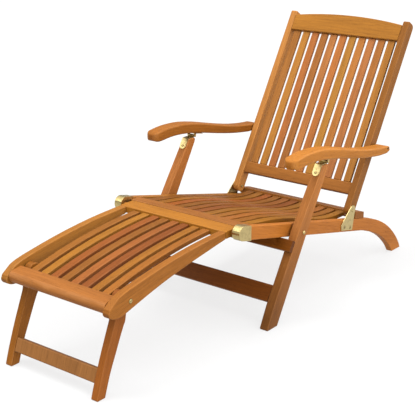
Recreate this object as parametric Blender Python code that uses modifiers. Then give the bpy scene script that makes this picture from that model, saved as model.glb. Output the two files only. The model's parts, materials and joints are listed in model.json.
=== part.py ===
"""Folding steamer deck chair in oiled hardwood, with brass fittings.

The chair is drawn in side view: Y runs from the toes of the foot legs (Y = 0 in the
drawing) to the head end, and Z is the height above the floor. X is across, with the
sitter's left hand side at +X. Most boards are a side outline, extruded across X.
The finished chair is centred on the origin, so CENTRE_Y is taken off every drawn Y.
"""
import math

import bmesh
import bpy
from mathutils import Vector

CENTRE_Y = 0.7653
GAP = 0.0004

# Widths across the chair, as distances from the middle plane.
RAIL_INNER, RAIL_OUTER = 0.2165, 0.2400
LEG_INNER, LEG_OUTER = 0.2483, 0.2779
ARM_INNER, ARM_OUTER = 0.2433, 0.2925
FOOT_RAIL_INNER, FOOT_RAIL_OUTER = 0.1800, 0.2040
FOOT_LEG_INNER, FOOT_LEG_OUTER = 0.1530, 0.1770

# Joint axes as (Y, Z). The pins of the seat, the legs, the arms and the back posts make
# a parallelogram, so the arms stay level with themselves while the chair folds flat.
LEG_AXIS = (0.8135, 0.2645)
ARM_AXIS = (0.9430, 0.4595)
BACK_AXIS = (1.1680, 0.2345)
FOOTREST_AXIS = (0.5500, 0.3215)
FOOT_LEG_AXIS = (0.1090, 0.2570)
PIN_RADIUS, ROD_RADIUS, HOLE_CLEARANCE = 0.0040, 0.0055, 0.0003

# Seat rails: straight, falling to the head end, with a half-round nose and a curved tail.
RAIL_SLOPE = -0.2327
RAIL_REFERENCE = (0.5900, 0.3380)
RAIL_HEIGHT = 0.0420
RAIL_NOSE_Y = 0.5535
RAIL_STRAIGHT_END = 1.2400
TAIL_TOP = ((1.290, 0.1735), (1.340, 0.1560), (1.385, 0.1355), (1.430, 0.1085), (1.470, 0.0765),
            (1.500, 0.0460), (1.522, 0.0165), (1.530, 0.0000))
TAIL_BOTTOM = ((1.470, 0.0000), (1.447, 0.0290), (1.408, 0.0640), (1.365, 0.0930), (1.310, 0.1190))
CAP_END_Y, CAP_WALL = 0.5900, 0.0012

SEAT_SLATS, SEAT_SLAT_PITCH = 11, 0.0370
SEAT_SLAT_WIDTH, SEAT_SLAT_THICK = 0.0265, 0.0160
# The seat slats' top as (Y, height over the rails' top line).
SEAT_CROWN = ((0.6164, -0.0012), (0.650, -0.0028), (0.750, 0.0060), (0.820, 0.0080), (0.900, 0.0065),
              (0.970, 0.0015), (1.040, -0.0005), (1.100, 0.0030), (1.150, 0.0100), (1.1925, 0.0195))
SEAT_FRONT_RAIL = (0.5785, 0.6160, 0.3060, 0.3330)
SEAT_FRONT_RAIL_HALF = 0.2145
SEAT_REAR_RAIL_TOP = ((1.1930, 0.2220), (1.2500, 0.2088))
SEAT_REAR_RAIL_THICK = 0.0238

FOOT_SLATS, FOOT_SLAT_PITCH = 8, 0.0383
FOOT_SLAT_WIDTH, FOOT_SLAT_THICK = 0.0255, 0.0150
FOOT_SLAT_TOP = ((0.0822, 0.2672), (0.180, 0.2898), (0.280, 0.3073), (0.380, 0.3192), (0.460, 0.3251),
                 (0.5174, 0.3271))
FOOT_RAIL_TOP = ((0.0570, 0.2750), (0.086, 0.2860), (0.180, 0.3030), (0.280, 0.3170), (0.380, 0.3265),
                 (0.460, 0.3305), (0.5174, 0.3322))
FOOT_RAIL_BOTTOM = ((0.5174, 0.3093), (0.480, 0.3042), (0.430, 0.2966), (0.340, 0.2830), (0.240, 0.2645),
                    (0.150, 0.2430), (0.088, 0.2265))
FOOT_RAIL_NOSE = ((0.0650, 0.2235), (0.0455, 0.2262), (0.0305, 0.2345), (0.0265, 0.2450), (0.0320, 0.2575))
FOOT_FRONT_RAIL = ((0.0818, 0.2385), (0.0818, 0.2740))
FOOT_FRONT_BULLNOSE = (0.0520, 0.2510)
FOOT_FRONT_BULLNOSE_RADIUS = 0.0180
HINGE_RAIL = (0.5178, 0.5755, 0.3105, 0.3325)

BACK_SLOPE_DEG = 58.90
BACK_DATUM = (1.1460, 0.2340)
POST_DEPTH, POST_BOTTOM, POST_TOP = 0.0400, 0.0117, 0.6890
POST_FRONT_ROUND, POST_REAR_ROUND = 0.0060, 0.0150
BACK_SLATS, BACK_SLAT_PITCH = 11, 0.0383
BACK_SLAT_WIDTH, BACK_SLAT_THICK, BACK_SLAT_INSET = 0.0262, 0.0120, 0.0080
CREST_BOTTOM, CREST_ENDS, CREST_MIDDLE, CREST_THICK = 0.6165, 0.6735, 0.6895, 0.0240
BACK_RAIL_BOTTOM, BACK_RAIL_TOP, BACK_RAIL_THICK, BACK_RAIL_INSET = 0.0622, 0.1021, 0.0220, 0.0045
PLATE_THICK, PLATE_ROUND = 0.0022, 0.0180
PLATE_FOOT = ((1.0985, 0.2000), (1.1010, 0.1815), (1.1700, 0.1660))

LEG_FRONT = ((0.6270, 0.0000), (0.662, 0.0700), (0.699, 0.1290), (0.7400, 0.1960), (0.7810, 0.2630),
             (0.8270, 0.3320), (0.8900, 0.4215), (0.9110, 0.4543))
LEG_TOP = ((0.9385, 0.4540), (0.9425, 0.4520), (0.9440, 0.4475), (0.9409, 0.4380))
LEG_REAR_FOOT = (0.6810, 0.0000)
LEG_STRETCHER = ((0.6665, 0.0775), (0.6955, 0.1225))
LEG_STRETCHER_THICK = 0.0200
STOP_BAR = ((0.7505, 0.2150), (0.7696, 0.2467))
STOP_BAR_THICK = 0.0165
STRAP_WIDTH, STRAP_THICK, STRAP_BARREL = 0.0250, 0.0020, 0.0045
STRAP_FOOT, STRAP_BEND, STRAP_BEND_SET = (0.8897, 0.4225), (0.9105, 0.4550), 0.0013

FOOT_LEG_FRONT = ((0.0000, 0.0000), (0.0125, 0.0390), (0.0275, 0.0800), (0.0450, 0.1250), (0.0770, 0.2000))
FOOT_LEG_REAR = ((0.1180, 0.1930), (0.1010, 0.1610), (0.0760, 0.1080), (0.0535, 0.0600), (0.0320, 0.0000))
FOOT_LEG_TOP_RADIUS = 0.0205
FOOT_STRETCHER = ((0.0150, 0.0425), (0.0290, 0.0810))
FOOT_STRETCHER_THICK = 0.0190

ARM_TOP = ((0.7370, 0.4990), (0.7460, 0.5075), (0.775, 0.5125), (0.810, 0.5152), (0.850, 0.5150),
           (0.900, 0.5112), (0.970, 0.4985), (1.040, 0.4817), (1.110, 0.4652), (1.180, 0.4510),
           (1.250, 0.4413), (1.2955, 0.4378))
ARM_REAR = ((1.3085, 0.4345), (1.3130, 0.4255), (1.3085, 0.4165), (1.2940, 0.4118))
ARM_BOTTOM = ((1.2500, 0.4135), (1.180, 0.4222), (1.110, 0.4345), (1.040, 0.4490), (0.970, 0.4640),
              (0.900, 0.4755), (0.850, 0.4800), (0.810, 0.4800), (0.780, 0.4775), (0.7560, 0.4765),
              (0.7410, 0.4800), (0.7350, 0.4890))
ARM_FRONT, ARM_END = -0.2140, 0.3720
ARM_NOSE_RADIUS, ARM_TAIL_RADIUS = 0.0230, 0.0080

WOODS = {"oak": (0.62, 0.30, 0.12), "gold": (0.66, 0.36, 0.11),
         "red": (0.45, 0.17, 0.07), "rose": (0.60, 0.27, 0.14)}
SLAT_WOODS = ("oak", "gold", "red", "oak", "rose", "red", "gold", "oak", "rose", "oak", "gold")
SIDES = ((1, "left"), (-1, "right"))


# ---------------------------------------------------------------- outlines, as lists of (Y, Z)

def arc(centre, radius, start, end, steps=8):
    """Points round part of a circle, with the angles in degrees from +Y towards +Z."""
    points = []
    for step in range(steps + 1):
        angle = math.radians(start + (end - start) * step / steps)
        points.append((centre[0] + radius * math.cos(angle), centre[1] + radius * math.sin(angle)))
    return points


def circle(centre, radius, segments=16):
    return arc(centre, radius, 0, 360 * (segments - 1) / segments, segments - 1)


def smooth(points, steps=2):
    """A Catmull-Rom curve through the points, which stay on it."""
    padded = [points[0], *points, points[-1]]
    curve = []
    for quad in zip(padded, padded[1:], padded[2:], padded[3:]):
        for step in range(steps):
            curve.append(tuple(catmull_rom(values, step / steps) for values in zip(*quad)))
    return curve + [points[-1]]


def catmull_rom(values, t):
    a, b, c, d = values
    bend, twist = 2 * a - 5 * b + 4 * c - d, 3 * b - a - 3 * c + d
    return 0.5 * (2 * b + (c - a) * t + bend * t ** 2 + twist * t ** 3)


def thickened(top, thickness):
    """A strip of even thickness under a line of points."""
    bottom = []
    for index, (y, z) in enumerate(top):
        before, after = top[max(index - 1, 0)], top[min(index + 1, len(top) - 1)]
        run = Vector((after[0] - before[0], after[1] - before[1])).normalized()
        bottom.append((y + run.y * thickness, z - run.x * thickness))
    return list(top) + bottom[::-1]


def dropped(top, thickness):
    """A strip under a line of points, with upright ends."""
    return list(top) + [(y, z - thickness) for y, z in reversed(top)]


def rail_top(y):
    return RAIL_REFERENCE[1] + RAIL_SLOPE * (y - RAIL_REFERENCE[0])


def rail_drop(height=RAIL_HEIGHT):
    return height * math.hypot(1.0, RAIL_SLOPE)


def rail_nose(grow=0.0, steps=12):
    """The half-round front end of a seat rail, from its underside to its top."""
    tilt = math.degrees(math.atan(RAIL_SLOPE))
    centre = (RAIL_NOSE_Y, rail_top(RAIL_NOSE_Y) - rail_drop() / 2)
    return arc(centre, RAIL_HEIGHT / 2 + grow, 270 + tilt, 90 + tilt, steps)


def rail_front_part(end_y, grow=0.0):
    """The part of a seat rail's outline in front of end_y, made bigger by grow."""
    top = rail_top(end_y) + rail_drop(grow)
    bottom = rail_top(end_y) - rail_drop(RAIL_HEIGHT + grow)
    return rail_nose(grow) + [(end_y, top), (end_y, bottom)]


def back_point(along, depth=0.0):
    """A point of the back: along it from the datum, and depth behind its front face."""
    slope = math.radians(BACK_SLOPE_DEG)
    y = BACK_DATUM[0] + along * math.cos(slope) + depth * math.sin(slope)
    z = BACK_DATUM[1] + along * math.sin(slope) - depth * math.cos(slope)
    return y, z


def back_board(start, end, front, thickness):
    """A board that lies along the back, as a four-cornered side outline."""
    rear = front + thickness
    return [back_point(start, front), back_point(end, front), back_point(end, rear), back_point(start, rear)]


def box(y_from, y_to, z_from, z_to):
    return [(y_from, z_from), (y_to, z_from), (y_to, z_to), (y_from, z_to)]


def hole(centre, radius=PIN_RADIUS):
    return circle(centre, radius + HOLE_CLEARANCE)


# ---------------------------------------------------------------- the scene and its materials

def clear_scene():
    for obj in list(bpy.data.objects):
        bpy.data.objects.remove(obj, do_unlink=True)


def new_collection(name):
    collection = bpy.data.collections.new(name)
    bpy.context.scene.collection.children.link(collection)
    return collection


def new_material(name, colour, roughness, metallic=0.0):
    material = bpy.data.materials.new(name)
    material.use_nodes = True
    shader = material.node_tree.nodes["Principled BSDF"]
    shader.inputs["Base Color"].default_value = (*colour, 1.0)
    shader.inputs["Roughness"].default_value = roughness
    shader.inputs["Metallic"].default_value = metallic
    return material


clear_scene()
PARTS = new_collection("folding_deck_chair")
CUTTERS = new_collection("cutters")
WOOD = {name: new_material("wood_" + name, colour, 0.45) for name, colour in WOODS.items()}
BRASS = new_material("brass", (0.62, 0.52, 0.24), 0.30, 1.0)
AXES = {}
EMPTIES = {}


def add_body(body, axis, parent=None):
    """An empty on the joint axis of a moving piece, which its parts hang from."""
    empty = bpy.data.objects.new(body + "_axis", None)
    empty.empty_display_size = 0.05
    PARTS.objects.link(empty)
    AXES[body], EMPTIES[body] = axis, empty
    start = AXES[parent] if parent else (CENTRE_Y, 0.0)
    empty.parent = EMPTIES.get(parent)
    empty.location = (0.0, axis[0] - start[0], axis[1] - start[1])


add_body("seat", (CENTRE_Y, 0.0))
add_body("footrest", FOOTREST_AXIS, "seat")
add_body("foot_legs", FOOT_LEG_AXIS, "footrest")
add_body("main_legs", LEG_AXIS, "seat")
add_body("arms", ARM_AXIS, "main_legs")
add_body("back", BACK_AXIS, "seat")


# ---------------------------------------------------------------- making solids

def flat_shape(name, outlines, length):
    """Closed outlines in the XY plane, filled and extruded; the inner ones are holes."""
    curve = bpy.data.curves.new(name, "CURVE")
    curve.dimensions = "2D"
    curve.fill_mode = "BOTH"
    curve.extrude = length / 2
    for outline in outlines:
        spline = curve.splines.new("POLY")
        spline.points.add(len(outline) - 1)
        for point, (first, second) in zip(spline.points, outline):
            point.co = (first, second, 0.0, 1.0)
        spline.use_cyclic_u = True
    return bpy.data.objects.new(name, curve)


def as_mesh(obj, collection=PARTS):
    """Replaces a curve object with a mesh object whose caps are welded on."""
    name = obj.name
    collection.objects.link(obj)
    bpy.context.view_layer.update()
    mesh = bpy.data.meshes.new_from_object(obj.evaluated_get(bpy.context.evaluated_depsgraph_get()))
    build = bmesh.new()
    build.from_mesh(mesh)
    bmesh.ops.remove_doubles(build, verts=build.verts, dist=0.00001)
    bmesh.ops.recalc_face_normals(build, faces=build.faces)
    build.to_mesh(mesh)
    build.free()
    mesh.shade_smooth()
    mesh.set_sharp_from_angle(angle=math.radians(35))
    solid = bpy.data.objects.new(name + "_solid", mesh)
    solid.matrix_world = obj.matrix_world.copy()
    bpy.data.objects.remove(obj, do_unlink=True)
    solid.name = name
    collection.objects.link(solid)
    return solid


def hang(obj, body, material=None, x=0.0, at=None):
    """Parents an object to its body's empty, at a drawn (Y, Z), or on the axis itself."""
    y, z = at or AXES[body]
    obj.parent = EMPTIES[body]
    obj.location = (x, y - AXES[body][0], z - AXES[body][1])
    if material:
        obj.data.materials.clear()
        obj.data.materials.append(material)
    return obj


def side_solid(name, body, outline, x, width, holes=(), collection=PARTS):
    """A side outline extruded across X, with its origin on the body's axis."""
    y, z = AXES[body]
    moved = [[(point[0] - y, point[1] - z) for point in ring] for ring in (outline, *holes)]
    obj = flat_shape(name, moved, width)
    obj.rotation_euler = (math.radians(90), 0.0, math.radians(90))
    return hang(as_mesh(obj, collection), body, None, x)


def board(name, body, outline, wood, half_width, holes=()):
    """A board that runs across the chair from -half_width to half_width."""
    return hang(side_solid(name, body, outline, 0.0, 2 * half_width, holes), body, WOOD[wood])


def pair(name, body, outline, wood, inner, outer, holes=()):
    """The same board on both sides of the chair."""
    made = []
    for side, word in SIDES:
        x = side * (inner + outer) / 2
        solid = side_solid(f"{name}_{word}", body, outline, x, outer - inner, holes)
        made.append(hang(solid, body, WOOD[wood], x))
    return made


def slats(name, body, outline, count, pitch, width):
    """A row of equal slats, numbered from the sitter's right hand to the left."""
    for index in range(count):
        x = (index - (count - 1) / 2) * pitch
        solid = side_solid(f"{name}_{index + 1:02d}", body, outline, x, width)
        hang(solid, body, WOOD[SLAT_WOODS[index]], x)


def turned(name, body, centre, profile, material, side=1):
    """A round piece along X: profile is (distance from the middle plane, radius), outermost first."""
    mesh = bpy.data.meshes.new(name)
    edges = [(index, index + 1) for index in range(len(profile) - 1)]
    mesh.from_pydata([(radius, 0.0, across) for across, radius in profile], edges, [])
    obj = bpy.data.objects.new(name, mesh)
    PARTS.objects.link(obj)
    screw = obj.modifiers.new("turn", "SCREW")
    screw.steps = screw.render_steps = 16
    screw.use_merge_vertices = True
    screw.merge_threshold = 0.00001
    obj.rotation_euler = (0.0, side * math.radians(90), 0.0)
    return hang(obj, body, material, at=centre)


def boolean(obj, other, operation):
    """Cuts, joins or trims obj with another mesh object, which becomes a cutter."""
    modifier = obj.modifiers.new(operation.lower(), "BOOLEAN")
    modifier.operation = operation
    modifier.object = other
    other.hide_render = True
    other.display_type = "WIRE"


# ---------------------------------------------------------------- the seat and its rails

def make_seat_rails():
    tail_top = smooth([(RAIL_STRAIGHT_END, rail_top(RAIL_STRAIGHT_END)), *TAIL_TOP])
    tail_bottom = smooth([*TAIL_BOTTOM, (RAIL_STRAIGHT_END, rail_top(RAIL_STRAIGHT_END) - rail_drop())])
    outline = rail_nose() + tail_top + tail_bottom
    holes = (hole(LEG_AXIS), hole(FOOTREST_AXIS, ROD_RADIUS))
    pair("seat_rail", "seat", outline, "oak", RAIL_INNER, RAIL_OUTER, holes)


def make_rail_caps():
    """Brass covers over the rails' noses, open at the rear, with a hole for the footrest rod."""
    middle, width = (RAIL_INNER + RAIL_OUTER) / 2, RAIL_OUTER - RAIL_INNER
    for side, word in SIDES:
        x = side * middle
        cap = side_solid(f"rail_cap_{word}", "seat", rail_front_part(CAP_END_Y, GAP + CAP_WALL), x,
                         width + 2 * (GAP + CAP_WALL))
        hang(cap, "seat", BRASS, x)
        inside = side_solid(f"cap_inside_{word}", "seat", rail_front_part(CAP_END_Y + 0.01, GAP), x,
                            width + 2 * GAP, collection=CUTTERS)
        rod_hole = side_solid(f"cap_rod_hole_{word}", "seat", hole(FOOTREST_AXIS, ROD_RADIUS),
                              x - side * 0.01, width, collection=CUTTERS)
        boolean(cap, inside, "DIFFERENCE")
        boolean(cap, rod_hole, "DIFFERENCE")


def make_seat():
    crown = smooth([(y, rail_top(y) + height) for y, height in SEAT_CROWN])
    slats("seat_slat", "seat", dropped(crown, SEAT_SLAT_THICK), SEAT_SLATS, SEAT_SLAT_PITCH, SEAT_SLAT_WIDTH)
    board("seat_front_cross_rail", "seat", box(*SEAT_FRONT_RAIL), "rose", SEAT_FRONT_RAIL_HALF)
    rear_rail = dropped(SEAT_REAR_RAIL_TOP, SEAT_REAR_RAIL_THICK)
    board("seat_rear_cross_rail", "seat", rear_rail, "oak", RAIL_OUTER)


def make_pivots():
    """The brass plates and pins of the back, the leg bolts and the footrest's hinge rod."""
    for side, word in SIDES:
        outline = [*PLATE_FOOT, *arc(BACK_AXIS, PLATE_ROUND, -35, 115)]
        plate_x = side * (RAIL_OUTER + GAP + PLATE_THICK / 2)
        plate = side_solid(f"back_plate_{word}", "seat", outline, plate_x, PLATE_THICK)
        hang(plate, "seat", BRASS, plate_x)
        pin_from, pin_to = RAIL_INNER - 0.0035, RAIL_OUTER + GAP + PLATE_THICK / 2
        pin = side_solid(f"back_pin_{word}", "seat", circle(BACK_AXIS, PIN_RADIUS),
                         side * (pin_from + pin_to) / 2, pin_to - pin_from, collection=CUTTERS)
        boolean(plate, pin, "UNION")
        turned(f"leg_pivot_bolt_{word}", "seat", LEG_AXIS, leg_bolt_profile(), BRASS, side)
    turned("footrest_hinge_rod", "seat", FOOTREST_AXIS, rod_profile(), WOOD["oak"])


def leg_bolt_profile():
    """A domed head, the leg, a spacer, the rail and a round nut."""
    head, shank, spacer, nut = 0.0065, PIN_RADIUS, 0.0090, 0.0075
    leg_face, rail_face = LEG_OUTER + GAP, RAIL_INNER - GAP
    return [(leg_face + 0.0040, 0.0), (leg_face + 0.0036, 0.0035), (leg_face + 0.0022, 0.0058),
            (leg_face, head), (leg_face, shank), (LEG_INNER - GAP, shank), (LEG_INNER - GAP, spacer),
            (RAIL_OUTER + GAP, spacer), (RAIL_OUTER + GAP, shank), (rail_face, shank), (rail_face, nut),
            (rail_face - 0.0055, nut), (rail_face - 0.0055, 0.0)]


def rod_profile():
    """The rod ends inside the rails, and a collar each side keeps the footrest central."""
    collar = 0.0090
    end = RAIL_OUTER - 0.002
    collar_outer, collar_inner = RAIL_INNER - 2 * GAP - CAP_WALL, FOOT_RAIL_OUTER + GAP
    half = [(end, 0.0), (end, ROD_RADIUS), (collar_outer, ROD_RADIUS), (collar_outer, collar),
            (collar_inner, collar), (collar_inner, ROD_RADIUS)]
    return half + [(-across, radius) for across, radius in reversed(half)]


# ---------------------------------------------------------------- the footrest and its legs

def make_footrest():
    outline = smooth(FOOT_RAIL_TOP) + smooth(FOOT_RAIL_BOTTOM) + smooth(FOOT_RAIL_NOSE)
    bolt_hole = hole(FOOT_LEG_AXIS)
    pair("footrest_rail", "footrest", outline, "oak", FOOT_RAIL_INNER, FOOT_RAIL_OUTER, (bolt_hole,))
    slats("footrest_slat", "footrest", dropped(smooth(FOOT_SLAT_TOP), FOOT_SLAT_THICK),
          FOOT_SLATS, FOOT_SLAT_PITCH, FOOT_SLAT_WIDTH)
    bullnose = arc(FOOT_FRONT_BULLNOSE, FOOT_FRONT_BULLNOSE_RADIUS, 98, 270, 12)
    board("footrest_front_rail", "footrest", [*FOOT_FRONT_RAIL, *bullnose], "oak", FOOT_RAIL_INNER - GAP)
    board("footrest_hinge_rail", "footrest", box(*HINGE_RAIL), "gold", FOOT_RAIL_OUTER,
          (hole(FOOTREST_AXIS, ROD_RADIUS),))


def make_foot_legs():
    top = arc(FOOT_LEG_AXIS, FOOT_LEG_TOP_RADIUS, 165, -10, 12)
    outline = smooth(FOOT_LEG_FRONT) + top + smooth(FOOT_LEG_REAR)
    pair("foot_leg", "foot_legs", outline, "oak", FOOT_LEG_INNER, FOOT_LEG_OUTER, (hole(FOOT_LEG_AXIS),))
    stretcher = thickened(FOOT_STRETCHER, FOOT_STRETCHER_THICK)
    board("foot_leg_stretcher", "foot_legs", stretcher, "red", FOOT_LEG_INNER - GAP)


# ---------------------------------------------------------------- the main legs and the arms

def make_main_legs():
    outline = smooth(LEG_FRONT) + [*LEG_TOP, LEG_REAR_FOOT]
    pair("main_leg", "main_legs", outline, "rose", LEG_INNER, LEG_OUTER, (hole(LEG_AXIS),))
    stretcher = thickened(LEG_STRETCHER, LEG_STRETCHER_THICK)
    board("leg_stretcher", "main_legs", stretcher, "red", LEG_INNER - GAP)
    stop_bar = thickened(STOP_BAR, -STOP_BAR_THICK)
    board("leg_stop_bar", "main_legs", stop_bar, "oak", LEG_OUTER)


def make_hinge_straps():
    """Brass straps up the legs' fronts and over their tops, each ending in a hinge barrel."""
    middle = (LEG_INNER + LEG_OUTER) / 2
    run = Vector((STRAP_BEND[0] - STRAP_FOOT[0], STRAP_BEND[1] - STRAP_FOOT[1])).normalized()
    outward = Vector((-run.y, run.x)) * STRAP_THICK
    outline = [STRAP_FOOT, STRAP_BEND, *arc(ARM_AXIS, STRAP_BARREL, -90, 215, 14),
               (STRAP_BEND[0] - STRAP_BEND_SET, STRAP_BEND[1] + STRAP_THICK),
               (STRAP_FOOT[0] + outward.x, STRAP_FOOT[1] + outward.y)]
    half, reach, depth = STRAP_WIDTH / 2, 0.09, 0.06
    rounded_end = [*arc((0.0, half), half, 180, 360, 14), (half, reach), (-half, reach)]
    for side, word in SIDES:
        x = side * middle
        strap = side_solid(f"arm_hinge_strap_{word}", "main_legs", outline, x, STRAP_WIDTH)
        hang(strap, "main_legs", BRASS, x)
        trim = flat_shape(f"strap_trim_{word}", [rounded_end], depth)
        trim.rotation_euler = (math.atan2(run.y, run.x), 0.0, 0.0)
        hang(as_mesh(trim, CUTTERS), "main_legs", None, x, STRAP_FOOT)
        boolean(strap, bpy.data.objects[f"strap_trim_{word}"], "INTERSECT")


def make_arms():
    """Bent arm rests, rounded in plan at the nose and a little at the rear end."""
    outline = smooth(ARM_TOP) + smooth(ARM_REAR) + smooth(ARM_BOTTOM)
    half, depth = (ARM_OUTER - ARM_INNER) / 2, 0.3
    front, rear = ARM_FRONT, ARM_END
    nose, tail = ARM_NOSE_RADIUS, ARM_TAIL_RADIUS
    plan = [*arc((half - nose, front + nose), nose, 0, -90),
            *arc((nose - half, front + nose), nose, -90, -180),
            *arc((tail - half, rear - tail), tail, 180, 90, 4),
            *arc((half - tail, rear - tail), tail, 90, 0, 4)]
    for arm, (side, word) in zip(pair("arm", "arms", outline, "oak", ARM_INNER, ARM_OUTER), SIDES):
        trim = flat_shape(f"arm_plan_{word}", [plan], depth)
        hang(as_mesh(trim, CUTTERS), "arms", None, arm.location.x)
        boolean(arm, bpy.data.objects[f"arm_plan_{word}"], "INTERSECT")


# ---------------------------------------------------------------- the back

def make_back():
    middle = POST_DEPTH / 2
    bottom_end = arc(back_point(POST_BOTTOM, middle), middle, BACK_SLOPE_DEG - 90, BACK_SLOPE_DEG - 270, 12)
    front, rear = POST_FRONT_ROUND, POST_REAR_ROUND
    top_end = [*arc(back_point(POST_TOP - front, front), front, BACK_SLOPE_DEG + 90, BACK_SLOPE_DEG, 4),
               *arc(back_point(POST_TOP - rear, POST_DEPTH - rear), rear,
                    BACK_SLOPE_DEG, BACK_SLOPE_DEG - 90)]
    pair("back_post", "back", bottom_end + top_end, "oak", RAIL_INNER, RAIL_OUTER, (hole(BACK_AXIS),))
    lower = back_board(BACK_RAIL_BOTTOM, BACK_RAIL_TOP, BACK_RAIL_INSET, BACK_RAIL_THICK)
    board("back_bottom_rail", "back", lower, "oak", RAIL_INNER - GAP)
    slat = back_board(BACK_RAIL_TOP + GAP, CREST_BOTTOM - GAP, BACK_SLAT_INSET, BACK_SLAT_THICK)
    slats("back_slat", "back", slat, BACK_SLATS, BACK_SLAT_PITCH, BACK_SLAT_WIDTH)


def make_crest():
    """The top rail: straight below and arched above, drawn in the plane of the back."""
    half = RAIL_INNER - GAP
    rise = CREST_MIDDLE - CREST_ENDS
    radius = (half ** 2 + rise ** 2) / (2 * rise)
    spread = math.degrees(math.asin(half / radius))
    top = arc((0.0, CREST_MIDDLE - radius), radius, 90 + spread, 90 - spread, 16)
    crest = flat_shape("back_crest_rail", [[(half, CREST_BOTTOM), (-half, CREST_BOTTOM), *top]], CREST_THICK)
    crest.rotation_euler = (math.radians(BACK_SLOPE_DEG), 0.0, 0.0)
    hang(as_mesh(crest), "back", WOOD["oak"], at=back_point(0.0, CREST_THICK / 2))


make_seat_rails()
make_rail_caps()
make_seat()
make_pivots()
make_footrest()
make_foot_legs()
make_main_legs()
make_hinge_straps()
make_arms()
make_back()
make_crest()
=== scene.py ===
"""The looks of the folding deck chair: oiled hardwood boards, brass fittings and a pale studio.

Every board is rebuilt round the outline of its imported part, with smooth curves and soft edges.
All sizes are in metres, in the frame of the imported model: X runs across the chair, Y towards
the head end and Z up. The sitter's left hand side is at +X.
"""
import json
import math
import random

import bmesh
import bpy
from mathutils import Matrix, Vector
from mathutils.geometry import delaunay_2d_cdt


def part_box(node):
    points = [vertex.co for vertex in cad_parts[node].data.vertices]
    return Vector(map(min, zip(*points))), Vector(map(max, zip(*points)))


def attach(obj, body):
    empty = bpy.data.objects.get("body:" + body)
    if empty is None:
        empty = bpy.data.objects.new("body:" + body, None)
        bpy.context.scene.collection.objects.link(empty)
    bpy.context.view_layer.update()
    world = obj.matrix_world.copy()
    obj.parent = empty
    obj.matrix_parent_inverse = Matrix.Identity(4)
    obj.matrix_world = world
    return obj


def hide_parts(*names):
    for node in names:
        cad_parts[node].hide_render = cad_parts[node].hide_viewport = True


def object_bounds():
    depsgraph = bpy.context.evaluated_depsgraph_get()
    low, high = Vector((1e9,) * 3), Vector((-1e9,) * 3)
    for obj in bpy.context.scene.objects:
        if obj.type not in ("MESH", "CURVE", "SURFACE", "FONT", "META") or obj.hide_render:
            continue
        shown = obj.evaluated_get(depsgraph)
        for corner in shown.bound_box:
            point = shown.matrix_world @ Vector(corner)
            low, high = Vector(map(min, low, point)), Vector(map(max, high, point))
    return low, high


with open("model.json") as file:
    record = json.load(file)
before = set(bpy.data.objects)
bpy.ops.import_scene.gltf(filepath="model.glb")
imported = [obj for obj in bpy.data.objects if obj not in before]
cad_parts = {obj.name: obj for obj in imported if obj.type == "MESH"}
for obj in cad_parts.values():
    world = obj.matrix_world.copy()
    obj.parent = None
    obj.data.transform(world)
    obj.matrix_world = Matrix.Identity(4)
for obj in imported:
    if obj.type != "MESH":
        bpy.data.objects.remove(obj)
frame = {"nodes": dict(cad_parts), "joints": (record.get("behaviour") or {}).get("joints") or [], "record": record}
cad_low, cad_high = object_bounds()

# The camera stands at the foot end, to the sitter's left.
CAMERA_PLACE = (1.8887, -2.4908, 1.3287)
CAMERA_TURN, CAMERA_DIP = 0.66303, 0.3178
CAMERA_LENS, CAMERA_SENSOR = 90.35, 36.0

# The light: a sky that is brightest on one side, a broad sun overhead, and a softbox by the foot end.
BRIGHT_SIDE = (0.62, -0.02, 0.78)
SKY_LIGHT, SKY_FALL = (0.20, 3.20), 1.8
SUN_SIDE, SUN_POWER, SUN_SPREAD = (-0.25, -0.10, 0.96), 2.0, math.radians(25)
SOFTBOX_PLACE, SOFTBOX_SIZE, SOFTBOX_POWER = (-2.2, -2.3, 2.6), 2.2, 36.0
FLOOR_TONE, FLOOR_GLOW, FLOOR_REACH, FLOOR_DROP = 0.13, 0.74, 60.0, 0.0003

# Boards: the round of the long edges, and of the corners of the side outline.
EDGE_STEPS = 4
CORNER_TURN, CURVE_TURN = math.radians(29), math.radians(5)
CLOSEST = 0.0002
BOARD_ROUNDS = {
    "arm": (0.0070, 0.0070), "main_leg": (0.0030, 0.0016), "foot_leg": (0.0030, 0.0016),
    "back_post": (0.0030, 0.0020), "seat_rail": (0.0028, 0.0016), "footrest_rail": (0.0032, 0.0020),
    "seat_slat": (0.0030, 0.0012), "footrest_slat": (0.0030, 0.0012), "back_slat": (0.0024, 0.0008),
}
CROSS_ROUNDS = (0.0008, 0.0030)
ARM_NOSE_ROUND = 0.0230
CREST_SLOPE = math.radians(58.9)

# Wood colours by material slot, each the middle tone of its boards, in linear light.
WOOD_TONES = {"wood_oak": (0.245, 0.092, 0.0145), "wood_gold": (0.280, 0.115, 0.0145),
              "wood_red": (0.195, 0.062, 0.0115), "wood_rose": (0.245, 0.088, 0.0190)}
# Boards whose tone is off their slot's, as factors on the tone's red, green and blue; some of these factors are
# painted shade.
TONE_AND_PAINTED_SHADE_SHIFTS = {
    "arm_left": (1.34, 1.38, 1.08), "arm_right": (1.05, 0.95, 0.72),
    "back_post_left": (0.85, 0.87, 0.80), "back_post_right": (1.42, 1.52, 2.10),
    "back_crest_rail": (1.16, 1.26, 0.95), "back_slat": (1.0, 1.02, 1.30),
    "seat_rail_left": (1.25, 1.18, 1.0), "seat_front_cross_rail": (0.90, 0.85, 0.80),
    # The leg stretcher's and the stop bar's factors are painted shade: they sit in the shade under the seat.
    "leg_stretcher": (0.56, 0.50, 0.28), "leg_stop_bar": (0.46, 0.33, 0.12),
    "foot_leg_left": (0.84, 0.72, 0.60), "foot_leg_right": (0.85, 0.75, 0.50),
    "foot_leg_stretcher": (1.12, 1.50, 2.20), "footrest_hinge_rail": (1.00, 0.89, 0.80),
    "footrest_front_rail": (0.97, 0.96, 1.06), "footrest_rail_left": (0.95, 0.88, 0.80),
    "seat_slat": (1.0, 0.90, 0.55), "footrest_slat": (1.0, 0.92, 0.78),
}
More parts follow.
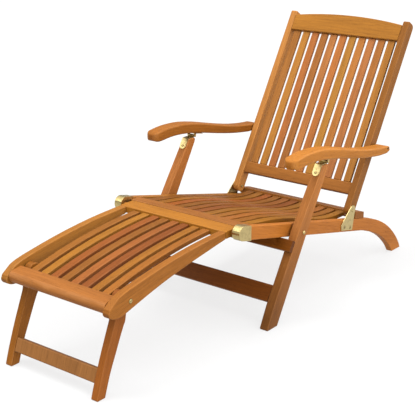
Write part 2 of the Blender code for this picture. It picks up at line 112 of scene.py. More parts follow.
# How light each slat is, counted from the sitter's right.
SLAT_SHADES = {
    "footrest_slat": (0.82, 0.92, 0.98, 0.69, 0.79, 0.79, 0.80, 0.89),
    "seat_slat": (0.60, 0.70, 1.10, 0.71, 0.70, 0.90, 0.66, 0.81, 0.91, 0.79, 0.78),
    "back_slat": (1.16, 1.12, 1.42, 1.06, 1.29, 1.64, 1.05, 1.27, 1.08, 1.03, 1.0),
}
# How much painted shade the sides of the slats get, for the shade in the gaps between them, and the painted shade
# at a leg's foot and painted light at its top.
SLAT_SIDE_PAINTED_SHADES = {"seat_slat": 0.30, "footrest_slat": 0.30}
LEG_PAINTED_SHADING, LEG_PAINTED_SHADING_HEIGHTS = (0.62, 1.30), (0.04, 0.36)
LIGHT_TONE, DARK_TONE = 1.26, 0.62
TONE_SPREAD = 0.06

# Screws and pins. A screw has a dark ring of painted shade round its head, for the shade in its countersink, and a
# cross cut in it with painted shade on its walls and floor.
SCREW_RADIUS, SCREW_SINK, SCREW_HEIGHT = 0.0041, 0.0056, 0.0006
SCREW_TOP, SCREW_SIDES = 0.90, 32
CROSS_ARM, CROSS_HALF_WIDTH, CROSS_DEPTH = 0.0024, 0.0007, 0.0008
# The back plates' screws as (Y, Z) from the plate's lowest corner.
PLATE_SCREWS = ((0.0215, 0.0230), (0.0585, 0.0120))
# The strap's screw and the line of the leaf under the arm as (Y, Z) from the arm's hinge axis.
STRAP_SCREW, STRAP_FACING = (-0.0482, -0.0254), (-0.842, 0.539)
LEAF_RUN = ((-0.0045, 0.0100), (0.0045, 0.0083), (0.0270, 0.0041), (0.0400, 0.0013))
LEAF_THICK, LEAF_HALF, KNUCKLE_RADIUS, KNUCKLE_WIDTH = 0.0018, 0.0155, 0.0044, 0.0027
LEAF_SCREWS = (0.0130, 0.0310)


# ---------------------------------------------------------------- shader nodes

def put(tree, socket, value):
    """Links a socket to another, or sets its value."""
    if isinstance(value, bpy.types.NodeSocket):
        tree.links.new(value, socket)
    else:
        socket.default_value = value


def add_node(tree, kind, inputs=(), **settings):
    """A new node, with its settings and with its inputs as (name or number, value) pairs."""
    node = tree.nodes.new(kind)
    for name, value in settings.items():
        setattr(node, name, value)
    for name, value in inputs:
        put(tree, node.inputs[name], value)
    return node


def maths(tree, operation, first, second=0.0, third=0.0):
    inputs = ((0, first), (1, second), (2, third))
    return add_node(tree, "ShaderNodeMath", inputs, operation=operation).outputs[0]


def ramp(tree, value, low, high, to_low=0.0, to_high=1.0):
    """Maps low..high to to_low..to_high, held at the ends."""
    inputs = ((0, value), (1, low), (2, high), (3, to_low), (4, to_high))
    return add_node(tree, "ShaderNodeMapRange", inputs, clamp=True).outputs[0]


def mix_colours(tree, factor, first, second, blend_type="MIX"):
    inputs = ((0, factor), (6, first), (7, second))
    return add_node(tree, "ShaderNodeMix", inputs, data_type="RGBA", blend_type=blend_type).outputs[2]


def stretched_noise(tree, place, scale, detail=3.0, roughness=0.5):
    """Noise with its own scale along each axis, as features per metre."""
    inputs = ((0, place), (1, scale))
    spread = add_node(tree, "ShaderNodeVectorMath", inputs, operation="MULTIPLY").outputs[0]
    inputs = (("Vector", spread), ("Scale", 1.0), ("Detail", detail), ("Roughness", roughness))
    return add_node(tree, "ShaderNodeTexNoise", inputs).outputs[0]


# ---------------------------------------------------------------- the wood

def make_grain_group():
    """Oiled hardwood in a board's own axes: X across it, Y along the grain and Z through it."""
    tree = bpy.data.node_groups.new("wood_grain", "ShaderNodeTree")
    for name, kind in (("Place", "NodeSocketVector"), ("Facing", "NodeSocketVector"),
                       ("Light", "NodeSocketColor"), ("Dark", "NodeSocketColor")):
        tree.interface.new_socket(name, in_out="INPUT", socket_type=kind)
    tree.interface.new_socket("Side", in_out="INPUT", socket_type="NodeSocketFloat")
    for name, kind in (("Colour", "NodeSocketColor"), ("Roughness", "NodeSocketFloat"),
                       ("Height", "NodeSocketFloat")):
        tree.interface.new_socket(name, in_out="OUTPUT", socket_type=kind)
    given, result = tree.nodes.new("NodeGroupInput"), tree.nodes.new("NodeGroupOutput")
    place, facing, light, dark = given.outputs[:4]

    clouds = stretched_noise(tree, place, (12.0, 1.6, 18.0), 3.0)
    heart = stretched_noise(tree, place, (17.0, 1.3, 23.0), 2.0, 0.4)
    rings = maths(tree, "MULTIPLY_ADD", maths(tree, "SINE", maths(tree, "MULTIPLY", heart, 95.0)), 0.5, 0.5)
    streaks = stretched_noise(tree, place, (330.0, 7.0, 330.0), 4.0, 0.6)
    fibres = stretched_noise(tree, place, (1300.0, 26.0, 1300.0), 2.0)
    pores = ramp(tree, stretched_noise(tree, place, (1000.0, 34.0, 1000.0), 2.0), 0.60, 0.70)

    tone = maths(tree, "MULTIPLY", ramp(tree, clouds, 0.30, 0.70), 0.36)
    tone = maths(tree, "MULTIPLY_ADD", rings, 0.12, tone)
    tone = maths(tree, "MULTIPLY_ADD", ramp(tree, streaks, 0.32, 0.68), 0.36, tone)
    tone = maths(tree, "MULTIPLY_ADD", ramp(tree, fibres, 0.30, 0.70), 0.16, tone)
    colour = mix_colours(tree, tone, dark, light)
    colour = mix_colours(tree, maths(tree, "MULTIPLY", pores, 0.40), colour, dark, "MULTIPLY")

    # End grain is darker; the sides of slats get painted shade, for the shade in the gaps between them; long edges
    # are rubbed paler.
    parts = add_node(tree, "ShaderNodeSeparateXYZ", ((0, facing),)).outputs
    end = ramp(tree, maths(tree, "ABSOLUTE", parts[1]), 0.80, 0.97, 0.0, 0.55)
    colour = mix_colours(tree, end, colour, mix_colours(tree, 1.0, dark, (0.80, 0.72, 0.68, 1.0), "MULTIPLY"))
    sideways = maths(tree, "ABSOLUTE", parts[0])
    side = maths(tree, "MULTIPLY", ramp(tree, sideways, 0.80, 0.97), given.outputs["Side"])
    painted_side_shade = mix_colours(tree, 1.0, colour, (0.35, 0.30, 0.25, 1.0), "MULTIPLY")
    colour = mix_colours(tree, side, colour, painted_side_shade)
    upright = maths(tree, "SQRT", maths(tree, "SUBTRACT", 1.0, maths(tree, "MULTIPLY", sideways, sideways)))
    edge = ramp(tree, maths(tree, "MULTIPLY", sideways, upright), 0.16, 0.48)
    patches = ramp(tree, stretched_noise(tree, place, (55.0, 14.0, 55.0), 3.0), 0.35, 0.62, 0.25, 1.0)
    worn = maths(tree, "MULTIPLY", edge, patches)
    pale = mix_colours(tree, 0.45, light, (0.80, 0.47, 0.24, 1.0))
    colour = mix_colours(tree, maths(tree, "MULTIPLY", worn, 0.14), colour, pale)

    roughness = maths(tree, "MULTIPLY_ADD", tone, -0.16, 0.58)
    roughness = maths(tree, "MULTIPLY_ADD", pores, 0.14, roughness)
    roughness = maths(tree, "MULTIPLY_ADD", worn, 0.08, roughness)
    height = maths(tree, "MULTIPLY_ADD", pores, -0.6, maths(tree, "MULTIPLY_ADD", fibres, 0.35, streaks))
    for socket, value in zip(result.inputs, (colour, roughness, height)):
        put(tree, socket, value)
    return tree


GRAIN = make_grain_group()


def board_tones(name, slot):
    """The light and dark tone of one board, a little off its neighbours'."""
    chance = random.Random(name)
    lift = 1.0 + chance.uniform(-TONE_SPREAD, TONE_SPREAD)
    warmth = 1.0 + chance.uniform(-TONE_SPREAD, TONE_SPREAD)
    kind, _, number = name.rpartition("_")
    if kind in SLAT_SHADES:
        lift *= SLAT_SHADES[kind][int(number) - 1]
    shifts = TONE_AND_PAINTED_SHADE_SHIFTS.get(name, TONE_AND_PAINTED_SHADE_SHIFTS.get(kind, (1.0, 1.0, 1.0)))
    tone = [part * shift * lift for part, shift in zip(WOOD_TONES[slot], shifts)]
    tone[1] *= warmth
    light = (tone[0] * LIGHT_TONE, tone[1] * LIGHT_TONE, tone[2] * LIGHT_TONE, 1.0)
    dark = (tone[0] * DARK_TONE, tone[1] * DARK_TONE * 0.94, tone[2] * DARK_TONE * 0.88, 1.0)
    return light, dark


def wood_material(name, slot, slope, across):
    """Wood whose grain runs along a board: at slope in the side view, or across the chair."""
    material = bpy.data.materials.new(name + "_wood")
    material.use_nodes = True
    tree = material.node_tree
    shader = tree.nodes["Principled BSDF"]
    chance = random.Random(name + "_place")
    offset = [chance.uniform(-5.0, 5.0) for _ in range(3)]
    turn = (-slope, 0.0, math.radians(90) if across else 0.0)
    source = tree.nodes.new("ShaderNodeTexCoord")
    inputs = (("Vector", source.outputs["Object"]), ("Location", offset), ("Rotation", turn))
    place = add_node(tree, "ShaderNodeMapping", inputs, vector_type="POINT")
    inputs = (("Vector", source.outputs["Normal"]), ("Rotation", turn))
    facing = add_node(tree, "ShaderNodeMapping", inputs, vector_type="VECTOR")
    light, dark = board_tones(name, slot)
    inputs = (("Place", place.outputs[0]), ("Facing", facing.outputs[0]), ("Light", light), ("Dark", dark),
              ("Side", SLAT_SIDE_PAINTED_SHADES.get(name.rpartition("_")[0], 0.0)))
    grain = add_node(tree, "ShaderNodeGroup", node_tree=GRAIN)
    for socket, value in inputs:
        put(tree, grain.inputs[socket], value)
    bump = add_node(tree, "ShaderNodeBump", (("Strength", 0.45), ("Distance", 0.0003),
                                             ("Height", grain.outputs["Height"])))
    colour = grain.outputs["Colour"]
    # Main legs: painted shade towards the foot and painted light towards the top, as light falls from above.
    if name.startswith("main_leg"):
        height = add_node(tree, "ShaderNodeSeparateXYZ", ((0, source.outputs["Object"]),)).outputs[2]
        colour = mix_colours(tree, 1.0, colour, ramp(tree, height, *LEG_PAINTED_SHADING_HEIGHTS, *LEG_PAINTED_SHADING), "MULTIPLY")
    put(tree, shader.inputs["Base Color"], colour)
    put(tree, shader.inputs["Roughness"], grain.outputs["Roughness"])
    put(tree, shader.inputs["Normal"], bump.outputs[0])
    shader.inputs["Specular IOR Level"].default_value = 0.10
    return material


# ---------------------------------------------------------------- the brass

def brass_material(name, colour, tarnish, roughness, brushed):
    """Plated brass: smudged, finely brushed along one axis, and tarnished in patches."""
    material = bpy.data.materials.new(name)
    material.use_nodes = True
    tree = material.node_tree
    shader = tree.nodes["Principled BSDF"]
    place = tree.nodes.new("ShaderNodeTexCoord").outputs["Object"]
    smudges = stretched_noise(tree, place, (90.0, 90.0, 90.0), 4.0, 0.6)
    spots = stretched_noise(tree, place, (420.0, 420.0, 420.0), 3.0)
    brushing = stretched_noise(tree, place, brushed, 2.0)
    stain = maths(tree, "MAXIMUM", ramp(tree, smudges, 0.50, 0.72, 0.0, 0.55),
                  ramp(tree, spots, 0.62, 0.72, 0.0, 0.7))
    put(tree, shader.inputs["Base Color"], mix_colours(tree, stain, (*colour, 1.0), (*tarnish, 1.0)))
    rough = maths(tree, "MULTIPLY_ADD", stain, 0.22, roughness)
    put(tree, shader.inputs["Roughness"], maths(tree, "MULTIPLY_ADD", brushing, 0.10, rough))
    bump = add_node(tree, "ShaderNodeBump", (("Strength", 0.35), ("Distance", 0.00006), ("Height", brushing)))
    put(tree, shader.inputs["Normal"], bump.outputs[0])
    shader.inputs["Metallic"].default_value = 1.0
    return material


BRUSHED_UP, BRUSHED_ACROSS, CAST = (120.0, 120.0, 3200.0), (3200.0, 160.0, 160.0), (900.0, 900.0, 900.0)
BRASS = brass_material("brass_plate", (0.50, 0.39, 0.17), (0.24, 0.17, 0.07), 0.25, BRUSHED_UP)
BRASS_ROUND = brass_material("brass_turned", (0.50, 0.38, 0.16), (0.24, 0.17, 0.07), 0.22, BRUSHED_ACROSS)
# Not brass but painted shade: a near black for the rings, sunk ends and recess floors that stand for the shade in
# holes.
DARK = brass_material("painted_recess_shade", (0.085, 0.055, 0.025), (0.04, 0.025, 0.012), 0.50, CAST)


def dress(obj, material):
    """Gives an object one material in its own slot."""
    if not obj.material_slots:
        obj.data.materials.append(material)
    for slot in obj.material_slots:
        slot.link = "OBJECT"
        slot.material = material


# ---------------------------------------------------------------- boards

def side_outline(node):
    """The side view of a board as a loop of 2D points (Y, Z), read from its face at the highest X."""
    build = bmesh.new()
    build.from_mesh(node.data)
    bmesh.ops.remove_doubles(build, verts=build.verts, dist=0.00001)
    highest = max(vert.co.x for vert in build.verts)
    face_set = {face for face in build.faces if all(highest - vert.co.x < 0.00001 for vert in face.verts)}
    rim = {edge for edge in build.edges if sum(face in face_set for face in edge.link_faces) == 1}
    loops = []
    while rim:
        edge = rim.pop()
        start, here = edge.verts
        loop = [start]
        while here is not start:
            loop.append(here)
            edge = next(option for option in here.link_edges if option in rim)
            rim.remove(edge)
            here = edge.other_vert(here)
        loops.append([Vector((vert.co.y, vert.co.z)) for vert in loop])
    build.free()
    outline = max(loops, key=lambda loop: abs(signed_area(loop)))
    return outline if signed_area(outline) > 0 else outline[::-1]


def arm_outline(node):
    """The side view of an arm, whose rounded nose has no flat side: the edge seen from the side."""
    build = bmesh.new()
    build.from_mesh(node.data)
    bmesh.ops.remove_doubles(build, verts=build.verts, dist=0.00001)
    low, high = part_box(node.name)
    cut = bmesh.ops.bisect_plane(build, geom=[*build.verts, *build.edges, *build.faces],
                                 plane_co=(low + high) / 2, plane_no=(1, 0, 0), clear_outer=True)
    rim = [edge for edge in cut["geom_cut"] if isinstance(edge, bmesh.types.BMEdge)]
    fill = bmesh.ops.contextual_create(build, geom=rim)
    loop = [Vector((vert.co.y, vert.co.z)) for vert in fill["faces"][0].verts]
    build.free()
    return loop if signed_area(loop) > 0 else loop[::-1]


def signed_area(loop):
    return sum(a.x * b.y - b.x * a.y for a, b in zip(loop, loop[1:] + loop[:1])) / 2


def neighbours(loop):
    """(point before, point, point after) all round a loop."""
    return zip(loop[-1:] + loop[:-1], loop, loop[1:] + loop[:1])


def turn_at(before, point, after):
    return abs((point - before).angle_signed(after - point))


def without_flat_points(loop):
    """The loop without points that lie on a straight run or on top of each other."""
    loop = [point for before, point, _ in neighbours(loop) if (point - before).length > CLOSEST]
    return [point for before, point, after in neighbours(loop)
            if turn_at(before, point, after) > math.radians(0.2)]


def filleted(loop, radius, steps=5):
    """Rounds the corners of a loop, and leaves the points of its curves."""
    made = []
    for before, point, after in neighbours(loop):
        turn = turn_at(before, point, after)
        if turn < CORNER_TURN:
            made.append(point)
            continue
        to_before, to_after = (before - point).normalized(), (after - point).normalized()
        longest = 0.47 * min((before - point).length, (after - point).length)
        reach = min(radius * math.tan(turn / 2), longest)
        fit = reach / math.tan(turn / 2)
        centre = point + (to_before + to_after).normalized() * fit / math.cos(turn / 2)
        arm = point + to_before * reach - centre
        sign = 1 if (point - before).angle_signed(after - point) < 0 else -1
        for step in range(steps + 1):
            made.append(centre + Matrix.Rotation(sign * turn * step / steps, 2) @ arm)
    return made


def tangent_at(before, point, after):
    """The direction of a curve at a point; a straight run next to a short step keeps its own."""
    back, ahead = point - before, after - point
    if back.length > 3 * ahead.length:
        return back.normalized()
    if ahead.length > 3 * back.length:
        return ahead.normalized()
    return (back.normalized() * ahead.length + ahead.normalized() * back.length).normalized()


def curved(loop):
    """The loop with points added so that no step of a curve turns by more than CURVE_TURN."""
    tangents = [tangent_at(*three) for three in neighbours(loop)]
    made = []
    for index, point in enumerate(loop):
        end = loop[(index + 1) % len(loop)]
        out, into = tangents[index], tangents[(index + 1) % len(loop)]
        steps = max(1, math.ceil(abs(out.angle_signed(into)) / CURVE_TURN))
        length = (end - point).length
        for step in range(steps):
            t = step / steps
            made.append(point * (2 * t ** 3 - 3 * t ** 2 + 1) + out * length * (t ** 3 - 2 * t ** 2 + t)
                        + end * (3 * t ** 2 - 2 * t ** 3) + into * length * (t ** 3 - t ** 2))
    return made


def edge_radii(loop, edge):
    """The edge's radius at each point: edge, or less where the outline itself turns tightly."""
    radii = []
    for before, point, after in neighbours(loop):
        left_turn = -(point - before).angle_signed(after - point)
        tightest = ((point - before).length + (after - point).length) / (2 * max(left_turn, 0.0001))
        radii.append(min(edge, 0.8 * tightest))
    for order in 2 * (range(len(loop)), range(len(loop) - 1, -1, -1)):
        for index in order:
            for near in (index - 1, (index + 1) % len(loop)):
                radii[index] = min(radii[index], radii[near] + 0.4 * (loop[index] - loop[near]).length)
    return radii


def inset_loop(loop, distances):
    """The loop moved inwards, by its own distance at each point."""
    made = []
    for (before, point, after), distance in zip(neighbours(loop), distances):
        run = ((point - before).normalized() + (after - point).normalized()).normalized()
        inward = Vector((-run.y, run.x))
        lean = max(0.5, math.cos(turn_at(before, point, after) / 2))
        made.append(point + inward * distance / lean)
    return made


def rounded_board(name, loop, x_low, x_high, edge, plan=None):
    """A solid between two X planes with a rounded edge; plan gives its share of full width at a Y."""
    middle, half = (x_low + x_high) / 2, (x_high - x_low) / 2
    radii = edge_radii(loop, edge)
    quarter = [math.radians(90) * step / EDGE_STEPS for step in range(EDGE_STEPS + 1)]
    build = bmesh.new()
    rings = []
    for side, angle in [(-1, angle) for angle in reversed(quarter)] + [(1, angle) for angle in quarter]:
        flat = inset_loop(loop, [radius * (1 - math.cos(angle)) for radius in radii])
        ring = []
        for point, radius in zip(flat, radii):
            x = side * (half - radius + radius * math.sin(angle)) * (plan(point.x) if plan else 1.0)
            ring.append(build.verts.new((middle + x, point.x, point.y)))
        rings.append(ring)
    for ring, following in zip(rings, rings[1:]):
        for index in range(len(ring)):
            after = (index + 1) % len(ring)
            build.faces.new((ring[index], ring[after], following[after], following[index]))
    inner = inset_loop(loop, radii)
    steps = [(index, (index + 1) % len(inner)) for index in range(len(inner))]
    triangles = delaunay_2d_cdt(inner, steps, [], 1, 0.0000001)[2]
    for ring in (rings[0], rings[-1]):
        for corners in triangles:
            build.faces.new([ring[index] for index in corners])
    bmesh.ops.recalc_face_normals(build, faces=build.faces)
    mesh = bpy.data.meshes.new(name)
    build.to_mesh(mesh)
    build.free()
    mesh.shade_smooth()
    obj = bpy.data.objects.new(name, mesh)
    bpy.context.scene.collection.objects.link(obj)
    weighted = obj.modifiers.new("flat faces stay flat", "WEIGHTED_NORMAL")
    weighted.weight = 100
    weighted.keep_sharp = True
    return obj


def slope_of(loop):
    """The angle of a loop's long direction from +Y towards +Z."""
    centre = sum(loop, Vector((0.0, 0.0))) / len(loop)
    yy = zz = yz = 0.0
    for here, after in zip(loop, loop[1:] + loop[:1]):
        offset, weight = (here + after) / 2 - centre, (after - here).length
        yy += weight * offset.x ** 2
        zz += weight * offset.y ** 2
        yz += weight * offset.x * offset.y
    return 0.5 * math.atan2(2 * yz, yy - zz)


def nose_plan(front):
    """The plan of an arm's nose: full width, then two quarter rounds that meet at its front."""
    def share(y):
        past = max(0.0, front + ARM_NOSE_ROUND - y)
        return 0.06 + 0.94 * math.sqrt(max(0.0, 1.0 - (past / ARM_NOSE_ROUND) ** 2))
    return share


def make_board(name, node, slot, body):
    """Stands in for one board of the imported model, with soft edges and smooth curves."""
    low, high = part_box(name)
    kind = name.rpartition("_")[0]
    edge, corner = BOARD_ROUNDS.get(kind, CROSS_ROUNDS)
    outline = arm_outline(node) if kind == "arm" else side_outline(node)
    outline = without_flat_points(outline)
    slope = slope_of(outline)
    loop = curved(filleted(outline, max(corner, edge * 1.25)))
    plan = nose_plan(low.y) if kind == "arm" else None
    board = rounded_board("shaped_" + name, loop, low.x, high.x, edge, plan)
    dress(board, wood_material(name, slot, slope, kind not in BOARD_ROUNDS))
    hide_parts(name)
    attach(board, body)


def soften(node, width, segments=3):
    """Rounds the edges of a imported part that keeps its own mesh."""
    weld = node.modifiers.new("weld", "WELD")
    weld.merge_threshold = 0.00002
    flat = node.modifiers.new("flat faces", "DECIMATE")
    flat.decimate_type = "DISSOLVE"
    flat.angle_limit = math.radians(0.5)
    bevel = node.modifiers.new("soft edges", "BEVEL")
    bevel.width = width
    bevel.segments = segments
    bevel.limit_method = "ANGLE"
    bevel.angle_limit = math.radians(40)
    bevel.harden_normals = True
    weighted = node.modifiers.new("even shading", "WEIGHTED_NORMAL")
    weighted.weight = 100
    weighted.keep_sharp = True


SLOTS = {part["node"]: part["material_slot"] for part in frame["record"]["subparts"]}
BODY_OF = {name: body for body, names in frame["record"]["behaviour"]["bodies"].items() for name in names}
JOINTS = {joint["name"]: Vector(joint["pos_m"]) for joint in frame["joints"]}

for node_name, cad_node in frame["nodes"].items():
    if SLOTS[node_name] == "brass":
        soften(cad_node, 0.0004)
        dress(cad_node, BRASS_ROUND if "bolt" in node_name else BRASS)
    elif node_name == "back_crest_rail":
        soften(cad_node, 0.0030, 4)
        dress(cad_node, wood_material(node_name, SLOTS[node_name], CREST_SLOPE, True))
    elif node_name == "footrest_hinge_rod":
        soften(cad_node, 0.0008)
        dress(cad_node, wood_material(node_name, SLOTS[node_name], 0.0, True))
    else:
        make_board(node_name, cad_node, SLOTS[node_name], BODY_OF[node_name])


# ---------------------------------------------------------------- screws, pins and hinge leaves

def turned_to(place, along):
    """The transform that takes the Z axis to a place and a direction."""
    return Matrix.Translation(place) @ Vector(along).to_track_quat("Z", "Y").to_matrix().to_4x4()


def disc(low, high, radius):
    """The turning profile of a plain disc between two heights."""
    return [(low, 0.0), (low, radius), (high, radius), (high, 0.0)]


def add_turned(build, profile, place, along, dark=False, segments=32):
    """Adds a turned solid to a mesh; profile is (distance along, radius) from one end to the other."""
    to_world = turned_to(place, along)
    rings = []
    for height, radius in profile:
        angles = [math.tau * step / segments for step in range(segments if radius > 0 else 1)]
        rings.append([build.verts.new(to_world @ Vector((radius * math.cos(a), radius * math.sin(a), height)))
                      for a in angles])
    for ring, following in zip(rings, rings[1:]):
        for step in range(segments):
            after = (step + 1) % segments
            corners = [ring[step % len(ring)], ring[after % len(ring)],
                       following[after % len(following)], following[step % len(following)]]
            face = build.faces.new(list(dict.fromkeys(corners)))
            face.material_index = int(dark)


def add_extruded(build, outline, x_low, x_high):
    """Adds a solid with a (Y, Z) outline between two X planes."""
    sides = [[build.verts.new((x, y, z)) for y, z in outline] for x in (x_low, x_high)]
    corners = [Vector(point) for point in outline]
    steps = [(index, (index + 1) % len(outline)) for index in range(len(outline))]
    for side in sides:
        for triangle in delaunay_2d_cdt(corners, steps, [], 1, 0.0000001)[2]:
            build.faces.new([side[index] for index in triangle])
    for here, after in steps:
        build.faces.new((sides[0][here], sides[0][after], sides[1][after], sides[1][here]))


def add_screw(build, place, along, height=SCREW_HEIGHT):
    """Adds a countersunk screw with a cross recess, seen on the surface at a place."""
    # A dark disc of painted shade under the head stands for the shade in the countersink.
    add_turned(build, disc(-0.0004, 0.0001, SCREW_SINK), place, along, dark=True)
    to_world = turned_to(place, along)
    arm, half = CROSS_ARM, CROSS_HALF_WIDTH
    quarter = [Vector(point) for point in ((arm, -half), (arm, half), (half, half))]
    cross = [Matrix.Rotation(math.radians(90) * turn, 2) @ point for turn in range(4) for point in quarter]
    turns = [math.tau * step / SCREW_SIDES for step in range(SCREW_SIDES)]
    rim = [Vector((SCREW_RADIUS * math.cos(turn), SCREW_RADIUS * math.sin(turn))) for turn in turns]

    def ring_at(points, level, scale=1.0):
        places = [Vector((point.x * scale, point.y * scale, level)) for point in points]
        return [build.verts.new(to_world @ place) for place in places]

    def join(lower, upper, material_index=0):
        for step in range(len(lower)):
            after = (step + 1) % len(lower)
            face = build.faces.new((lower[step], lower[after], upper[after], upper[step]))
            face.material_index = material_index

    base, shoulder, top = ring_at(rim, -0.0003), ring_at(rim, height * 0.55), ring_at(rim, height, SCREW_TOP)
    mouth, floor = ring_at(cross, height), ring_at(cross, height - CROSS_DEPTH, 0.75)
    build.faces.new(base)
    join(base, shoulder)
    join(shoulder, top)
    # The cross cut's walls and floor take painted shade.
    join(mouth, floor, 1)
    build.faces.new(floor).material_index = 1
    flat = [point * SCREW_TOP for point in rim] + cross
    sides = SCREW_SIDES
    steps = [(step, (step + 1) % sides) for step in range(sides)]
    steps += [(sides + step, sides + (step + 1) % len(cross)) for step in range(len(cross))]
    face_ring = top + mouth
    for triangle in delaunay_2d_cdt(flat, steps, [], 0, 0.0000001)[2]:
        middle = sum((flat[index] for index in triangle), Vector((0.0, 0.0))) / 3
        across, along_arm = sorted((abs(middle.x), abs(middle.y)))
        if across > half or along_arm > arm:
            build.faces.new([face_ring[index] for index in triangle])


def finish_piece(name, build, body):
    """Makes a brass piece from a mesh; its material index 1 is the painted shade of holes and recesses."""
    bmesh.ops.recalc_face_normals(build, faces=build.faces)
    mesh = bpy.data.meshes.new(name)
    build.to_mesh(mesh)
    build.free()
    mesh.shade_smooth()
    mesh.set_sharp_from_angle(angle=math.radians(38))
    piece = bpy.data.objects.new(name, mesh)
    bpy.context.scene.collection.objects.link(piece)
    mesh.materials.append(BRASS_ROUND)
    mesh.materials.append(DARK)
    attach(piece, body)
    return piece


def leaf_top(past):
    """The height of the leaf's top over the arm's hinge axis, at a distance behind the axis."""
    for (start, low), (end, high) in zip(LEAF_RUN, LEAF_RUN[1:]):
        if past <= end:
            return low + (high - low) * (past - start) / (end - start)
    return LEAF_RUN[-1][1]


def make_hinge_leaf(word, side, middle):
    """The hinge leaf screwed under an arm, with its two knuckles and the pin through them."""
    build = bmesh.new()
    x, (_, axis_y, axis_z) = side * middle, JOINTS["arm_fold"]
    plate = [(axis_y + y, axis_z + z) for y, z in LEAF_RUN]
    plate += [(axis_y + y, axis_z + z - LEAF_THICK) for y, z in reversed(LEAF_RUN)]
    add_extruded(build, plate, x - LEAF_HALF, x + LEAF_HALF)
    neck = [(axis_y - KNUCKLE_RADIUS, axis_z + leaf_top(-KNUCKLE_RADIUS) - 0.0004)]
    for step in range(17):
        angle = math.radians(180 + 180 * step / 16)
        neck.append((axis_y + KNUCKLE_RADIUS * math.cos(angle), axis_z + KNUCKLE_RADIUS * math.sin(angle)))
    neck.append((axis_y + KNUCKLE_RADIUS, axis_z + leaf_top(KNUCKLE_RADIUS) - 0.0004))
    for end in (-1, 1):
        faces = sorted((x + end * LEAF_HALF, x + end * (LEAF_HALF - KNUCKLE_WIDTH)))
        add_extruded(build, neck, *faces)
    pin = [(-0.0168, 0.0), (-0.0164, 0.0020), (-0.0158, 0.0026), (0.0158, 0.0026), (0.0164, 0.0020),
           (0.0168, 0.0)]
    add_turned(build, pin, (x, axis_y, axis_z), (1, 0, 0))
    for past in LEAF_SCREWS:
        place = (x, axis_y + past, axis_z + leaf_top(past) - LEAF_THICK)
        add_screw(build, place, (0, -0.18, -0.98), 0.0002)
    finish_piece("arm_hinge_leaf_" + word, build, "arms")


def make_strap_screw(word, side, middle):
    build = bmesh.new()
    _, axis_y, axis_z = JOINTS["arm_fold"]
    place = (side * middle, axis_y + STRAP_SCREW[0], axis_z + STRAP_SCREW[1])
    add_screw(build, place, (0.0, *STRAP_FACING))
    finish_piece("arm_hinge_strap_screw_" + word, build, "main_legs")


def make_plate_fixings(word, side):
    """The two screws and the rivet of a back plate."""
    build = bmesh.new()
    low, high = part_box("back_plate_" + word)
    face = high.x if side > 0 else low.x
    for y, z in PLATE_SCREWS:
        add_screw(build, (face, low.y + y, low.z + z), (side, 0, 0))
    rivet = [(-0.0004, 0.0), (-0.0004, 0.0046), (0.0005, 0.0046), (0.0013, 0.0036), (0.0017, 0.0018),
             (0.0018, 0.0)]
    place = (face, *JOINTS["back_fold"].yz)
    add_turned(build, rivet, place, (side, 0, 0))
    # A dark ring of painted shade round the rivet stands for the shade in its hole.
    add_turned(build, disc(-0.0004, 0.0001, 0.0056), place, (side, 0, 0), dark=True)
    finish_piece("back_plate_fixings_" + word, build, "seat")


def make_foot_leg_bolt(word, side):
    """The bolt a foot leg turns on: a recessed head, a washer between the boards and a nut inside."""
    build = bmesh.new()
    axis = JOINTS["foot_leg_fold"].yz
    rail_low, rail_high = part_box("footrest_rail_left")
    leg_low, leg_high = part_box("foot_leg_left")
    outside, inside = (side * rail_high.x, *axis), (side * leg_low.x, *axis)
    head = [(-0.0010, 0.0), (-0.0010, 0.0058), (0.0008, 0.0058), (0.0014, 0.0048), (0.0014, 0.0022),
            (0.0004, 0.0018), (0.0004, 0.0)]
    add_turned(build, head, outside, (side, 0, 0))
    # Painted shade: a dark ring round the head and a dark disc in its recessed centre.
    add_turned(build, disc(-0.0006, 0.0001, 0.0068), outside, (side, 0, 0), dark=True)
    add_turned(build, disc(0.00035, 0.00055, 0.0016), outside, (side, 0, 0), dark=True)
    nut = [(-0.0010, 0.0), (-0.0010, 0.0062), (0.0028, 0.0062), (0.0036, 0.0050), (0.0046, 0.0030),
           (0.0046, 0.0)]
    add_turned(build, nut, inside, (-side, 0, 0))
    add_turned(build, disc(leg_high.x, rail_low.x, 0.0085), (0, *axis), (side, 0, 0))
    finish_piece("foot_leg_bolt_" + word, build, "footrest")


def make_arm_pin(word, side):
    """The pin of an arm and a back post: a dark disc of painted shade for its sunk end outside, a washer, and a
    bright end inside.
    """
    build = bmesh.new()
    # The fourth corner of the parallelogram of the pivots.
    place = JOINTS["back_fold"] + JOINTS["arm_fold"] - JOINTS["main_leg_fold"]
    post_low, post_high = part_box("back_post_left")
    arm_low, arm_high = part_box("arm_left")
    outside = (side * arm_high.x, *place.yz)
    # Painted shade: a dark disc stands for the pin's sunk end in the arm.
    add_turned(build, disc(-0.0010, 0.0004, 0.0040), outside, (side, 0, 0), dark=True)
    add_turned(build, disc(post_high.x, arm_low.x, 0.0080), (0, *place.yz), (side, 0, 0))
    end = [(-0.0010, 0.0), (-0.0010, 0.0028), (0.0006, 0.0028), (0.0012, 0.0018), (0.0014, 0.0)]
    add_turned(build, end, (side * post_low.x, *place.yz), (-side, 0, 0))
    finish_piece("arm_pin_" + word, build, "arms")


leg_middle = sum(corner.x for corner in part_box("main_leg_left")) / 2
for side_word, side_sign in (("left", 1), ("right", -1)):
    make_hinge_leaf(side_word, side_sign, leg_middle)
    make_strap_screw(side_word, side_sign, leg_middle)
    make_plate_fixings(side_word, side_sign)
    make_foot_leg_bolt(side_word, side_sign)
    make_arm_pin(side_word, side_sign)


# ---------------------------------------------------------------- camera and studio

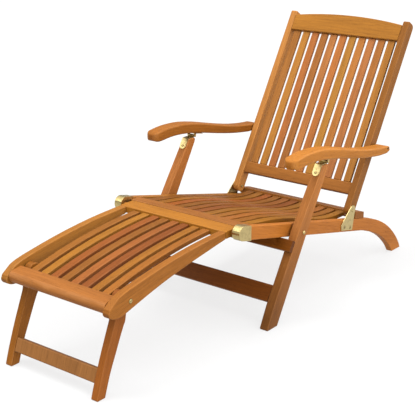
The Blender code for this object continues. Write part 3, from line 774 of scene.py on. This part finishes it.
def make_camera():
    camera = bpy.data.objects.new("camera", bpy.data.cameras.new("camera"))
    camera.data.lens, camera.data.sensor_width = CAMERA_LENS, CAMERA_SENSOR
    camera.location = CAMERA_PLACE
    camera.rotation_euler = (math.radians(90) - CAMERA_DIP, 0.0, CAMERA_TURN)
    bpy.context.scene.collection.objects.link(camera)
    bpy.context.scene.camera = camera


def make_floor():
    build = bmesh.new()
    bmesh.ops.create_grid(build, x_segments=8, y_segments=8, size=FLOOR_REACH)
    mesh = bpy.data.meshes.new("floor")
    build.to_mesh(mesh)
    build.free()
    floor = bpy.data.objects.new("floor", mesh)
    bpy.context.scene.collection.objects.link(floor)
    material = bpy.data.materials.new("pale_floor")
    material.use_nodes = True
    shader = material.node_tree.nodes["Principled BSDF"]
    shader.inputs["Base Color"].default_value = (FLOOR_TONE, FLOOR_TONE, FLOOR_TONE, 1.0)
    shader.inputs["Roughness"].default_value = 0.9
    shader.inputs["Specular IOR Level"].default_value = 0.0
    shader.inputs["Emission Color"].default_value = (1.0, 1.0, 1.0, 1.0)
    shader.inputs["Emission Strength"].default_value = FLOOR_GLOW
    mesh.materials.append(material)
    floor.location.z = cad_low.z - FLOOR_DROP


def make_studio():
    """A sky that is brightest on one side, a broad sun and a softbox."""
    world = bpy.data.worlds.new("studio")
    world.use_nodes = True
    tree = world.node_tree
    bright = Vector(BRIGHT_SIDE).normalized()
    direction = tree.nodes.new("ShaderNodeTexCoord").outputs["Generated"]
    inputs = ((0, direction), (1, bright))
    towards = add_node(tree, "ShaderNodeVectorMath", inputs, operation="DOT_PRODUCT").outputs["Value"]
    background = tree.nodes["Background"]
    background.inputs["Color"].default_value = (1.0, 1.0, 1.0, 1.0)
    share = maths(tree, "POWER", ramp(tree, towards, -0.5, 0.95), SKY_FALL)
    put(tree, background.inputs["Strength"], ramp(tree, share, 0.0, 1.0, *SKY_LIGHT))
    bpy.context.scene.world = world
    sun = bpy.data.lights.new("key", "SUN")
    sun.energy, sun.angle = SUN_POWER, SUN_SPREAD
    lamp = bpy.data.objects.new("key", sun)
    lamp.rotation_euler = (-Vector(SUN_SIDE)).to_track_quat("-Z", "Y").to_euler()
    bpy.context.scene.collection.objects.link(lamp)
    softbox = bpy.data.lights.new("softbox", "AREA")
    softbox.size, softbox.energy = SOFTBOX_SIZE, SOFTBOX_POWER
    lamp = bpy.data.objects.new("softbox", softbox)
    lamp.location = SOFTBOX_PLACE
    lamp.rotation_euler = (-Vector(SOFTBOX_PLACE)).to_track_quat("-Z", "Y").to_euler()
    bpy.context.scene.collection.objects.link(lamp)
    bpy.context.scene.view_settings.view_transform = "Standard"


make_camera()
make_floor()
make_studio()
